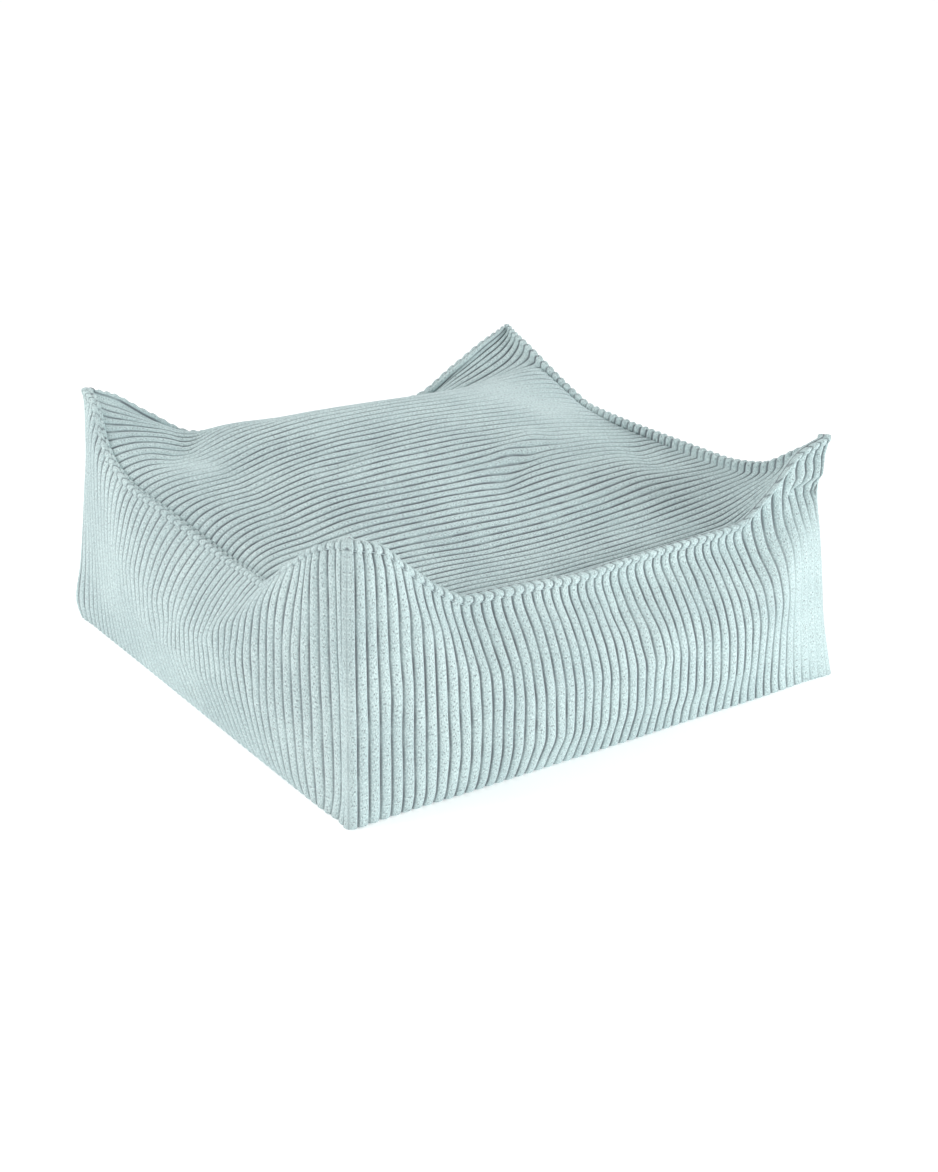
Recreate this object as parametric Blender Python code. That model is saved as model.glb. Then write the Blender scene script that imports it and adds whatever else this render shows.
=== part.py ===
"""Square corduroy pouf, 60 cm on a side, with four pinched corner ears and a rolled rim.

One filled cover: four side panels whose cords run up and down, a top panel whose cords run along X,
and a flat base panel, sewn edge to edge. Units are metres, +Z is up, and the origin lies in the
middle of the base. Front is -Y, right is +X, back is +Y and left is -X.
"""
import bpy
import bmesh
import numpy as np

# Driving sizes of the cover
SIDE = 0.600
CORDS_A_SIDE = 53
HALF = SIDE / 2

# Corduroy relief: the crest of each cord stands out, the groove beside it lies back
CREST_OUT = 0.0010
GROOVE_IN = 0.0018

# Rolled rim: the sides' top edge is turned over and stitched into a thick welt
RIM_THICK = 0.009
RIM_DROP = 0.009

# How far a corner's draw-in and the rim's height reach into the cloth beside them
CORNER_REACH = 0.075
RIM_REACH = {"front": 0.050, "right": 0.030, "back": 0.060, "left": 0.036}
RIM_REACH_POWER = 1.1

# The tables below state heights and offsets in millimetres
MM = 0.001

# Slope, per share of the top's width, at which the top's creases fade towards its rims
CREASE_FADE = 3.0

# Heights up a side panel, as shares of the rim's height there
LEVELS = (0.0, 0.08, 0.25, 0.45, 0.62, 0.78, 0.92, 1.0)
BUILT_LEVELS = (0.0, 0.08, 0.25, 0.45, 0.68, 0.88, 0.985)

# The four corners and, below, the upright sections of each side panel.
# Columns: place along the side from its low-X or low-Y corner in metres, height of the rim in
# metres, then how far the cloth stands out from the 60 cm square at each of the LEVELS in
# millimetres: foot, sill, low, belly, waist, shoulder, neck, rim.
CORNERS = {
    "front_left": (0.267, -1, -2, -4, -6, -8, -11, -15, -17),
    "front_right": (0.264, -3, -6, -12, -16, -20, -24, -20, -17),
    "back_right": (0.268, -3, -3, -5, -8, -12, -16, -19, -19),
    "back_left": (0.272, -1, 3, -4, -10, -15, -20, -20, -18),
}
FRONT = (
    (0.046, 0.256, 0, 3, 4, 3, 1, 0, -5, -15),
    (0.080, 0.228, 0, 6, 8, 7, 5, 4, -10, -15),
    (0.113, 0.201, 1, 7, 12, 11, 10, -1, -17, -21),
    (0.145, 0.184, 1, 7, 13, 15, 12, -5, -21, -24),
    (0.217, 0.181, 1, 8, 20, 20, 13, -2, -20, -24),
    (0.286, 0.175, 1, 6, 14, 14, 7, -10, -28, -28),
    (0.330, 0.176, 1, 5, 12, 13, 5, -22, -36, -32),
    (0.396, 0.176, 0, 2, 9, 7, -3, -22, -40, -38),
    (0.440, 0.176, 0, 2, 7, 4, -5, -24, -42, -41),
    (0.488, 0.178, 0, -1, 0, 1, -7, -30, -47, -42),
    (0.522, 0.205, -1, -4, -4, -4, -12, -36, -44, -36),
    (0.556, 0.248, -2, -5, -9, -12, -18, -34, -32, -25),
)
LEFT = (
    (0.023, 0.262, -2, -6, -8, -9, -9, -10, -11, -13),
    (0.034, 0.259, -1, -5, -6, -6, -6, -7, -8, -10),
    (0.057, 0.250, 0, 1, 3, 2, 2, 1, -2, -6),
    (0.079, 0.236, 0, 5, 8, 9, 9, 5, -3, -6),
    (0.102, 0.221, 0, 7, 12, 15, 14, 11, 3, -6),
    (0.125, 0.205, 0, 7, 15, 19, 18, 15, 6, -6),
    (0.147, 0.190, 0, 7, 15, 21, 23, 19, 8, -8),
    (0.170, 0.179, 0, 6, 15, 23, 25, 20, 5, -13),
    (0.208, 0.175, 0, 6, 15, 24, 25, 17, -2, -20),
    (0.253, 0.171, 0, 6, 15, 23, 23, 12, -8, -24),
    (0.303, 0.173, 0, 6, 15, 22, 21, 9, -10, -25),
    (0.342, 0.178, 0, 6, 14, 21, 20, 10, -7, -22),
    (0.392, 0.189, 0, 5, 12, 18, 18, 11, -2, -14),
    (0.446, 0.196, 0, 4, 9, 14, 14, 9, 1, -9),
    (0.480, 0.206, 0, 3, 7, 9, 8, 5, 0, -8),
    (0.513, 0.221, 0, 2, 4, 4, 3, 1, -2, -10),
    (0.563, 0.264, 0, 2, 0, -3, -5, -7, -11, -17),
)
RIGHT = (
    (0.030, 0.250, -3, -4, -8, -11, -16, -22, -22, -20),
    (0.052, 0.240, -2, 0, 0, -1, -8, -20, -24, -22),
    (0.105, 0.212, 0, 5, 12, 13, 8, -8, -22, -24),
    (0.170, 0.202, 0, 6, 16, 20, 15, -4, -21, -22),
    (0.300, 0.201, 0, 7, 18, 25, 18, -3, -21, -20),
    (0.400, 0.204, 0, 6, 16, 21, 16, -2, -18, -20),
    (0.440, 0.215, 0, 5, 13, 16, 12, 0, -16, -20),
    (0.500, 0.238, 0, 3, 8, 9, 6, -2, -13, -20),
    (0.545, 0.256, -1, 2, 2, 1, -3, -8, -15, -21),
)
BACK = (
    (0.045, 0.261, 0, 3, 3, 0, -6, -12, -17, -21),
    (0.090, 0.233, 0, 5, 9, 8, 2, -8, -17, -22),
    (0.140, 0.203, 1, 6, 15, 14, 8, -6, -20, -24),
    (0.220, 0.194, 1, 8, 20, 19, 12, -3, -20, -24),
    (0.340, 0.190, 1, 7, 18, 17, 10, -6, -22, -24),
    (0.440, 0.197, 0, 6, 14, 13, 7, -7, -20, -22),
    (0.500, 0.227, 0, 3, 8, 7, 4, -5, -15, -20),
    (0.550, 0.254, -1, 2, 3, 1, -2, -7, -15, -21),
)

# Height of the filled top, in millimetres, along lines of one Y. Columns: Y in metres, then the
# heights at CROWN_X.
CROWN_X = (-0.20, -0.13, -0.05, 0.03, 0.11, 0.19, 0.25)
CROWN = (
    (-0.24, 165, 167, 167, 166, 165, 168, 176),
    (-0.17, 174, 174, 170, 168, 169, 175, 183),
    (-0.10, 186, 189, 187, 182, 184, 188, 188),
    (-0.03, 194, 202, 203, 200, 199, 196, 192),
    (0.04, 200, 212, 217, 217, 212, 206, 202),
    (0.11, 204, 220, 226, 227, 222, 218, 220),
    (0.18, 212, 231, 235, 233, 230, 227, 228),
    (0.24, 224, 236, 224, 212, 210, 214, 216),
)

# Main creases, placed by hand. Columns: panel, centre (X and Y on the top, place along and height
# on a side), half length, half width, depth (below zero for a trough), turn from the panel's
# first direction in degrees.
CREASES = (
    ("front", 0.318, 0.118, 0.030, 0.012, -0.0050, 125),
    ("front", 0.415, 0.128, 0.022, 0.011, -0.0040, 120),
    ("front", 0.352, 0.094, 0.020, 0.014, 0.0030, 100),
    ("front", 0.574, 0.204, 0.026, 0.006, -0.0140, 8),
    ("front", 0.572, 0.224, 0.030, 0.010, 0.0160, 8),
    ("left", 0.330, 0.092, 0.050, 0.014, -0.0030, 140),
    ("left", 0.160, 0.160, 0.075, 0.010, 0.0055, 145),
    ("left", 0.172, 0.177, 0.065, 0.011, -0.0055, 145),
    ("top", 0.075, -0.030, 0.060, 0.016, -0.0050, 35),
    ("top", 0.110, 0.010, 0.050, 0.016, 0.0050, 30),
    ("top", 0.235, -0.060, 0.040, 0.022, -0.0050, 80),
    ("top", -0.205, 0.205, 0.055, 0.020, -0.0100, 45),
    ("top", -0.070, 0.060, 0.055, 0.014, -0.0025, 25),
)

# Columns of the top panel across its width, as shares, and the ring in the middle of the base
TOP_COLUMNS = (0.0, 0.035, 0.08, 0.14, 0.22, 0.32, 0.43, 0.54, 0.65, 0.75, 0.84, 0.91, 0.96, 1.0)
BASE_RING_POINTS = 9
BASE_RING_RADIUS = 0.12

# Cloth finish
CLOTH_COLOUR = (0.60, 0.74, 0.76, 1.0)
CLOTH_ROUGHNESS = 0.95


def clear_scene():
    """Remove every object that the open scene holds."""
    for item in list(bpy.data.objects):
        bpy.data.objects.remove(item, do_unlink=True)


def limited_slopes(steps, values):
    """Slopes at the points of a curve that never overshoots: the harmonic mean of the rises on
    both sides, or zero at a turning point. Points run along the first axis."""
    rises = np.diff(values, axis=0) / steps
    before, after = rises[:-1], rises[1:]
    same_way = before * after > 0
    total = np.where(same_way, before + after, 1.0)
    slopes = np.zeros_like(values)
    slopes[1:-1] = np.where(same_way, 2 * before * after / total, 0.0)
    slopes[0], slopes[-1] = rises[0], rises[-1]
    return slopes


def follow(places, values, at):
    """Read the smooth curve through (places, values) at the places `at`. Values may be columns."""
    places = np.asarray(places, float)
    values = np.asarray(values, float)
    steps = np.diff(places)[:, None]
    slopes = limited_slopes(steps, values)
    at = np.clip(np.asarray(at, float), places[0], places[-1])
    cell = np.clip(np.searchsorted(places, at, side="right") - 1, 0, len(places) - 2)
    step = steps[cell]
    f = (at[:, None] - places[cell][:, None]) / step
    start = (1 + 2 * f) * (1 - f) ** 2 * values[cell] + f * (1 - f) ** 2 * step * slopes[cell]
    end = f * f * (3 - 2 * f) * values[cell + 1] + f * f * (f - 1) * step * slopes[cell + 1]
    return start + end


def side_table(start, rows, end):
    """Sections of one side from corner to corner."""
    first = (0.0,) + CORNERS[start]
    last = (SIDE,) + CORNERS[end]
    return np.array((first,) + rows + (last,), float)


SIDES = {
    "front": side_table("front_left", FRONT, "front_right"),
    "right": side_table("front_right", RIGHT, "back_right"),
    "back": side_table("back_left", BACK, "back_right"),
    "left": side_table("front_left", LEFT, "back_left"),
}
# Direction along each side, and the way that its cloth faces
ALONG = {"front": (1, 0), "right": (0, 1), "back": (1, 0), "left": (0, 1)}
OUTWARD = {"front": (0, -1), "right": (1, 0), "back": (0, 1), "left": (-1, 0)}


def crease_depth(panel, first, second):
    """Sum of the panel's creases: each a soft trough or ridge that fades along its length."""
    depth = np.zeros(np.broadcast(first, second).shape)
    for name, at_first, at_second, half_length, half_width, deep, turn in CREASES:
        if name != panel:
            continue
        angle = np.radians(turn)
        du = first - at_first
        dv = second - at_second
        lengthways = (du * np.cos(angle) + dv * np.sin(angle)) / half_length
        across = (dv * np.cos(angle) - du * np.sin(angle)) / half_width
        depth = depth + deep * np.exp(-across ** 2 - lengthways ** 4)
    return depth


def corner_fades(along):
    """Share of the first and of the last corner's draw-in that a column takes."""
    first = np.clip(1 - along / CORNER_REACH, 0, 1) ** 2
    last = np.clip(1 - (SIDE - along) / CORNER_REACH, 0, 1) ** 2
    return first, last


def side_cloth(name, along, shares):
    """Points of a side panel: a row for each share of the rim's height, a column for each place."""
    table = SIDES[name]
    columns = follow(table[:, 0], table[:, 1:], along)
    height = columns[:, 0]
    out = follow(LEVELS, columns[:, 1:].T * MM, shares)
    ends = follow(LEVELS, table[[0, -1], 2:].T * MM, shares)
    z = shares[:, None] * height[None, :]
    clear_of_edges = np.sin(np.pi * np.clip(shares, 0, 1))[:, None]
    out = out + crease_depth(name, along[None, :], z) * clear_of_edges
    first, last = corner_fades(along)
    run = along[None, :] - HALF - ends[:, :1] * first + ends[:, 1:] * last
    run_x, run_y = ALONG[name]
    out_x, out_y = OUTWARD[name]
    x = run * run_x + (HALF + out) * out_x
    y = run * run_y + (HALF + out) * out_y
    return np.stack([x, y, z], axis=-1)


def inward_of_rim(name, along, thickness, drop):
    """The rim's line moved inwards by a thickness and down by a drop."""
    line = side_cloth(name, along, np.array([1.0]))[0]
    first, last = corner_fades(along)
    for axis in (0, 1):
        line[:, axis] -= thickness * OUTWARD[name][axis]
        line[:, axis] += thickness * ALONG[name][axis] * (first - last)
    line[:, 2] -= drop
    return line


def crown_height(x, y):
    """Height of the filled top at each point, from the CROWN table read along X and then Y."""
    table = np.array(CROWN, float)
    rows = table[:, 0]
    across = follow(CROWN_X, table[:, 1:].T, x.ravel()).T
    steps = np.diff(rows)[:, None]
    slopes = limited_slopes(steps, across)
    flat_y = np.clip(y.ravel(), rows[0], rows[-1])
    cell = np.clip(np.searchsorted(rows, flat_y, side="right") - 1, 0, len(rows) - 2)
    point = np.arange(flat_y.size)
    step = steps[cell, 0]
    f = (flat_y - rows[cell]) / step
    start = (1 + 2 * f) * (1 - f) ** 2 * across[cell, point]
    start += f * (1 - f) ** 2 * step * slopes[cell, point]
    end = f * f * (3 - 2 * f) * across[cell + 1, point]
    end += f * f * (f - 1) * step * slopes[cell + 1, point]
    return (start + end).reshape(x.shape) * MM


def patch(front, back, left, right, a, b):
    """Surface held by four edges: the sum of the two ruled surfaces less the corners' own."""
    corners = (1 - a) * (1 - b) * front[0] + a * (1 - b) * front[-1]
    corners = corners + (1 - a) * b * back[0] + a * b * back[-1]
    ruled_b = (1 - b) * front[None] + b * back[None]
    ruled_a = (1 - a) * left[:, None] + a * right[:, None]
    return ruled_a + ruled_b - corners


def rim_pull(name, share):
    """How much of a rim's height the top takes at a share of the top's width from it."""
    return np.exp(-(share * SIDE / RIM_REACH[name]) ** RIM_REACH_POWER)


def top_cloth(columns, rows):
    """Points of the top panel: a row for each share along Y, a column for each share along X."""
    edge = {
        "front": inward_of_rim("front", columns * SIDE, RIM_THICK, RIM_DROP),
        "back": inward_of_rim("back", columns * SIDE, RIM_THICK, RIM_DROP),
        "left": inward_of_rim("left", rows * SIDE, RIM_THICK, RIM_DROP),
        "right": inward_of_rim("right", rows * SIDE, RIM_THICK, RIM_DROP),
    }
    a = columns[None, :, None]
    b = rows[:, None, None]
    plan = patch(edge["front"], edge["back"], edge["left"], edge["right"], a, b)
    x, y = plan[..., 0], plan[..., 1]
    lift = {name: line[:, 2] - crown_height(line[:, 0], line[:, 1]) for name, line in edge.items()}
    near_left, near_right = rim_pull("left", columns), rim_pull("right", 1 - columns)
    near_front = rim_pull("front", rows)[:, None]
    near_back = rim_pull("back", 1 - rows)[:, None]
    z = crown_height(x, y)
    z = z + near_front * (lift["front"] - near_left * lift["front"][0])
    z = z - near_front * near_right * lift["front"][-1]
    z = z + near_back * (lift["back"] - near_left * lift["back"][0])
    z = z - near_back * near_right * lift["back"][-1]
    z = z + near_left * lift["left"][:, None] + near_right * lift["right"][:, None]
    clear_of_rims = np.sin(np.pi * columns)[None, :] * np.sin(np.pi * rows)[:, None]
    z = z + crease_depth("top", x, y) * np.clip(clear_of_rims * CREASE_FADE, 0, 1)
    return np.stack([x, y, z], axis=-1)


def cord_relief():
    """Offsets of the corduroy along a side: a groove, a crest, a groove and so on, with none on
    the seams at the two ends."""
    relief = np.full(2 * CORDS_A_SIDE + 1, -GROOVE_IN)
    relief[1::2] = CREST_OUT
    relief[[0, -1]] = 0.0
    return relief


def side_rings():
    """Closed rings of points around the pouf, from the floor up the sides and over the rim."""
    relief = cord_relief()
    along = np.linspace(0.0, SIDE, len(relief))
    rings = []
    for name, backwards in (("front", False), ("right", False), ("back", True), ("left", True)):
        cloth = side_cloth(name, along, np.array(BUILT_LEVELS))
        for axis in (0, 1):
            cloth[..., axis] += relief * OUTWARD[name][axis]
        crest = inward_of_rim(name, along, RIM_THICK / 2, 0.0)
        crest[:, 2] += relief
        seam = inward_of_rim(name, along, RIM_THICK, RIM_DROP)
        columns = np.concatenate([cloth, crest[None], seam[None]])
        columns = columns[:, ::-1] if backwards else columns
        rings.append(columns[:, :-1])
    return np.concatenate(rings, axis=1)


def add_points(mesh, points):
    """New mesh points for an array of places, in the same nested order."""
    if points.ndim == 1:
        return mesh.verts.new(points)
    return [add_points(mesh, row) for row in points]


def join_rows(mesh, lower, upper):
    """Four-sided faces between two rows of as many points."""
    for k in range(len(lower) - 1):
        mesh.faces.new((lower[k], lower[k + 1], upper[k + 1], upper[k]))


def join_chains(mesh, outer, inner, outer_places, inner_places):
    """Triangles between a fine and a coarse chain of points that run the same way."""
    i, j = 0, 0
    while i < len(outer) - 1 or j < len(inner) - 1:
        next_outer = outer_places[i + 1] if i < len(outer) - 1 else np.inf
        next_inner = inner_places[j + 1] if j < len(inner) - 1 else np.inf
        if next_outer <= next_inner:
            mesh.faces.new((outer[i], outer[i + 1], inner[j]))
            i += 1
        else:
            mesh.faces.new((outer[i], inner[j + 1], inner[j]))
            j += 1


def build_sides(mesh):
    """Side panels and rim. Returns the ring on the floor and the ring that meets the top."""
    rings = add_points(mesh, side_rings())
    for lower, upper in zip(rings[:-1], rings[1:]):
        join_rows(mesh, lower + lower[:1], upper + upper[:1])
    return rings[0], rings[-1]


def build_top(mesh, seam):
    """Top panel, joined to the ring of seam points around it."""
    steps = 2 * CORDS_A_SIDE
    columns = np.array(TOP_COLUMNS)
    rows = np.arange(steps + 1) / steps
    cloth = top_cloth(columns, rows)
    cloth[..., 2] += cord_relief()[:, None]
    ring = seam + seam[:1]
    front = ring[:steps + 1]
    right = ring[steps:2 * steps + 1]
    back = ring[2 * steps:3 * steps + 1][::-1]
    left = ring[3 * steps:][::-1]
    grid = []
    for k in range(1, steps):
        grid.append([left[k]] + add_points(mesh, cloth[k, 1:-1]) + [right[k]])
    for lower, upper in zip(grid[:-1], grid[1:]):
        join_rows(mesh, lower, upper)
    join_chains(mesh, front, grid[0], rows, columns)
    join_chains(mesh, back, grid[-1], rows, columns)


def build_base(mesh, foot):
    """Flat base panel inside the ring of points on the floor."""
    closed = foot + foot[:1]
    angles = np.unwrap([np.arctan2(point.co.y, point.co.x) for point in closed])
    turns = angles[0] + np.linspace(0.0, 2 * np.pi, BASE_RING_POINTS + 1)
    places = np.stack([np.cos(turns), np.sin(turns), np.zeros_like(turns)], axis=-1)
    ring = add_points(mesh, BASE_RING_RADIUS * places[:-1])
    join_chains(mesh, closed, ring + ring[:1], angles, turns)
    mesh.faces.new(ring)


def cloth_material():
    """Pale aqua corduroy."""
    material = bpy.data.materials.new("aqua_corduroy")
    material.use_nodes = True
    shader = material.node_tree.nodes["Principled BSDF"]
    shader.inputs["Base Color"].default_value = CLOTH_COLOUR
    shader.inputs["Roughness"].default_value = CLOTH_ROUGHNESS
    shader.inputs["Metallic"].default_value = 0.0
    return material


def build_pouf():
    """The filled cover as one closed solid."""
    mesh = bmesh.new()
    foot, seam = build_sides(mesh)
    build_top(mesh, seam)
    build_base(mesh, foot)
    bmesh.ops.triangulate(mesh, faces=mesh.faces[:])
    bmesh.ops.recalc_face_normals(mesh, faces=mesh.faces[:])
    data = bpy.data.meshes.new("pouf")
    mesh.to_mesh(data)
    mesh.free()
    data.materials.append(cloth_material())
    pouf = bpy.data.objects.new("pouf", data)
    bpy.context.scene.collection.objects.link(pouf)


clear_scene()
build_pouf()
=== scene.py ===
"""Looks of the square corduroy pouf: its filled cover, its stitching and the studio around it.

Units are metres, +Z is up, and the origin lies in the middle of the base. Front is -Y, right is +X.
"""

import bpy
import numpy as np
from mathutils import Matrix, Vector


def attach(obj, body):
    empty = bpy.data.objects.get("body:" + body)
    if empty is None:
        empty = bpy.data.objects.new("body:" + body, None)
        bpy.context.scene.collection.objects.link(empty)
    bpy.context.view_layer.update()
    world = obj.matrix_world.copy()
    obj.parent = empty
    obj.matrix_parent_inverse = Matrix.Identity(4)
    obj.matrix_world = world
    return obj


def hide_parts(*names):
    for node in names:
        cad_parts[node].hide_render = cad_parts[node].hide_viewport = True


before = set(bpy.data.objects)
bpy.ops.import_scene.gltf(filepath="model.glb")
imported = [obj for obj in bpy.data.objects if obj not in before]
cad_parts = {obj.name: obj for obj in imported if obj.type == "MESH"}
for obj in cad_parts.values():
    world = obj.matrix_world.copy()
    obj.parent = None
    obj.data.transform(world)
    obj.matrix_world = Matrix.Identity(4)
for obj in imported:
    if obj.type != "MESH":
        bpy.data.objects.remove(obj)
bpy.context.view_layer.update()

bl_info = {
    "name": "Corduroy pouf",
    "version": (1, 0, 0),
    "blender": (4, 5, 0),
    "location": "View3D > Sidebar > Pouf",
    "description": "Builds a square corduroy floor pouf with rolled rims and its studio",
    "category": "Add Mesh",
}

# Driving sizes of the cover
SIDE = 0.600
CORDS_A_SIDE = 53
HALF = SIDE / 2
CORD_PITCH = SIDE / CORDS_A_SIDE

# Rolled rim: the sides' top edge is turned over and stitched into a thick welt
RIM_THICK = 0.009
RIM_DROP = 0.009

# The roll gets shallower at the ears, by this share and within this way of the corners
EAR_FLAT = 0.65
EAR_REACH = 0.110

# Width of the roll and height of its hem on each side, as shares of the full ones
WELT = {"front": 1.0, "right": 0.75, "back": 0.9, "left": 0.6}

# Radius of the upright corners
CORNER_ROUND = 0.010

# How far a corner's draw-in and the rim's height reach into the cloth beside them
CORNER_REACH = 0.075
RIM_REACH = {"front": 0.050, "right": 0.030, "back": 0.060, "left": 0.036}
RIM_REACH_POWER = 1.1

# How much further the right rim lifts the top at the back ear, and over what way along the rim
EAR_EXTRA_REACH = 0.040
EAR_EXTRA_WAY = 0.090

# The tables below state heights and offsets in millimetres
MM = 0.001

# Slope, per share of the top's width, at which the top's creases fade towards its rims
CREASE_FADE = 3.0

# Heights up a side panel, as shares of the rim's height there
LEVELS = (0.0, 0.08, 0.25, 0.45, 0.62, 0.78, 0.92, 1.0)

# The four corners and, below, the upright sections of each side panel.
# Columns: place along the side from its low-X or low-Y corner in metres, height of the rim in
# metres, then how far the cloth stands out from the 60 cm square at each of the LEVELS in
# millimetres: foot, sill, low, belly, waist, shoulder, neck, rim.
CORNERS = {
    "front_left": (0.267, 2, 1, -1, -3, -5, -8, -12, -14),
    "front_right": (0.264, 0, -3, -9, -13, -17, -21, -17, -14),
    "back_right": (0.268, 0, 0, -2, -5, -9, -13, -16, -16),
    "back_left": (0.272, 2, 6, -1, -7, -12, -17, -17, -15),
}
FRONT = (
    (0.046, 0.256, 0, 3, 4, 3, 1, 0, -5, -15),
    (0.080, 0.228, 0, 6, 8, 7, 5, 4, -10, -15),
    (0.113, 0.201, 1, 7, 12, 11, 10, -1, -17, -21),
    (0.145, 0.184, 1, 7, 13, 15, 12, -5, -21, -24),
    (0.217, 0.181, 1, 8, 20, 20, 13, -2, -20, -24),
    (0.286, 0.175, 1, 6, 14, 14, 7, -10, -28, -28),
    (0.330, 0.176, 1, 5, 12, 13, 5, -22, -36, -32),
    (0.396, 0.176, 0, 2, 9, 7, -3, -22, -40, -38),
    (0.440, 0.176, 0, 2, 7, 4, -5, -24, -42, -41),
    (0.488, 0.178, 0, -1, 0, 1, -7, -30, -47, -42),
    (0.522, 0.205, -1, -4, -4, -4, -12, -36, -44, -36),
    (0.556, 0.248, -2, -5, -9, -12, -18, -34, -32, -25),
)
LEFT = (
    (0.023, 0.262, -2, -6, -8, -9, -9, -10, -11, -13),
    (0.034, 0.259, -1, -5, -6, -6, -6, -7, -8, -10),
    (0.057, 0.250, 0, 1, 3, 2, 2, 1, -2, -6),
    (0.079, 0.236, 0, 5, 8, 9, 9, 5, -3, -6),
    (0.102, 0.221, 0, 7, 12, 15, 14, 11, 3, -6),
    (0.125, 0.205, 0, 7, 15, 19, 18, 15, 6, -6),
    (0.147, 0.190, 0, 7, 15, 21, 23, 19, 8, -8),
    (0.170, 0.179, 0, 6, 15, 23, 25, 20, 5, -13),
    (0.208, 0.175, 0, 6, 15, 24, 25, 17, -2, -20),
    (0.253, 0.171, 0, 6, 15, 23, 23, 12, -8, -24),
    (0.303, 0.173, 0, 6, 15, 22, 21, 9, -10, -25),
    (0.342, 0.178, 0, 6, 14, 21, 20, 10, -7, -22),
    (0.392, 0.189, 0, 5, 12, 18, 18, 11, -2, -14),
    (0.446, 0.196, 0, 4, 9, 14, 14, 9, 1, -9),
    (0.480, 0.206, 0, 3, 7, 9, 8, 5, 0, -8),
    (0.513, 0.221, 0, 2, 4, 4, 3, 1, -2, -10),
    (0.563, 0.264, 0, 2, 0, -3, -5, -7, -11, -17),
)
RIGHT = (
    (0.030, 0.250, -3, -4, -8, -11, -16, -22, -22, -20),
    (0.052, 0.240, -2, 0, 0, -1, -8, -20, -24, -22),
    (0.105, 0.212, 0, 5, 12, 13, 8, -8, -22, -24),
    (0.170, 0.202, 0, 6, 16, 20, 15, -4, -21, -22),
    (0.300, 0.201, 0, 7, 18, 25, 18, -3, -21, -20),
    (0.400, 0.204, 0, 6, 16, 21, 16, -2, -18, -20),
    (0.440, 0.215, 0, 5, 13, 16, 12, 0, -16, -20),
    (0.500, 0.238, 0, 3, 8, 9, 6, -2, -13, -20),
    (0.545, 0.256, -1, 2, 2, 1, -3, -8, -15, -21),
)
BACK = (
    (0.045, 0.261, 0, 3, 3, 0, -6, -12, -17, -21),
    (0.090, 0.233, 0, 5, 9, 8, 2, -8, -17, -22),
    (0.140, 0.203, 1, 6, 15, 14, 8, -6, -20, -24),
    (0.220, 0.194, 1, 8, 20, 19, 12, -3, -20, -24),
    (0.340, 0.190, 1, 7, 18, 17, 10, -6, -22, -24),
    (0.440, 0.197, 0, 6, 14, 13, 7, -7, -20, -22),
    (0.500, 0.227, 0, 3, 8, 7, 4, -5, -15, -20),
    (0.550, 0.254, -1, 2, 3, 1, -2, -7, -15, -21),
)

# Height of the filled top, in millimetres, along lines of one Y. Columns: Y in metres, then the
# heights at CROWN_X.
CROWN_X = (-0.20, -0.13, -0.05, 0.03, 0.11, 0.19, 0.25)
CROWN = (
    (-0.24, 165, 167, 167, 166, 165, 168, 176),
    (-0.17, 174, 174, 170, 168, 169, 175, 183),
    (-0.10, 186, 189, 187, 182, 184, 188, 188),
    (-0.03, 194, 202, 203, 200, 199, 196, 192),
    (0.04, 200, 212, 217, 217, 212, 204, 198),
    (0.11, 204, 220, 226, 227, 222, 216, 213),
    (0.18, 212, 231, 235, 233, 230, 227, 228),
    (0.24, 224, 236, 224, 212, 206, 198, 194),
)

# Main creases, listed one by one. Columns: panel, centre (X and Y on the top, place along and height
# on a side), half length, half width, depth (below zero for a trough), turn from the panel's
# first direction in degrees.
CREASES = (
    ("front", 0.318, 0.118, 0.030, 0.012, -0.0050, 125),
    ("front", 0.415, 0.128, 0.022, 0.011, -0.0040, 120),
    ("front", 0.352, 0.094, 0.020, 0.014, 0.0030, 100),
    ("front", 0.574, 0.204, 0.026, 0.006, -0.0140, 8),
    ("front", 0.572, 0.224, 0.030, 0.010, 0.0160, 8),
    ("left", 0.330, 0.092, 0.050, 0.014, -0.0030, 140),
    ("left", 0.160, 0.160, 0.075, 0.010, 0.0055, 145),
    ("left", 0.172, 0.177, 0.065, 0.011, -0.0055, 145),
    ("top", 0.075, -0.030, 0.060, 0.016, -0.0050, 35),
    ("top", 0.110, 0.010, 0.050, 0.016, 0.0050, 30),
    ("top", 0.235, -0.060, 0.040, 0.022, -0.0050, 80),
    ("top", -0.205, 0.205, 0.055, 0.020, -0.0100, 45),
    ("top", -0.070, 0.060, 0.055, 0.014, -0.0025, 25),
)

# Cords of the top panel from the front rim to the back one
TOP_CORDS = 53

# Points across one cord, as shares of its width from groove to groove
CORD_PHASES = (0.0, 0.07, 0.25, 0.5, 0.75, 0.93)
COLUMNS_A_SIDE = CORDS_A_SIDE * len(CORD_PHASES)

# Power of the curve that rounds a cord's section
CORD_ROUNDNESS = 0.6

# Rows up a side panel below its stitching, and the gap that they leave there in millimetres
WALL_ROWS = 26
STITCH_GAP = 1.2

# The side panel's turned hem, from its stitching up to the crest. Columns: way down the wall from
# the rim and way out from the cloth in millimetres, share of the cords' relief, shift along the
# rim in cords, share of that relief upwards.
HEM = (
    (7.4, -0.3, 0.75, 0.10, 0.0),
    (6.3, 0.4, 0.80, 0.22, 0.0),
    (4.4, 1.0, 0.80, 0.30, 0.0),
    (2.2, 0.9, 0.85, 0.32, 0.4),
    (0.5, 0.4, 0.85, 0.32, 1.0),
)
STITCH_ROW = WALL_ROWS + 1

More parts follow.
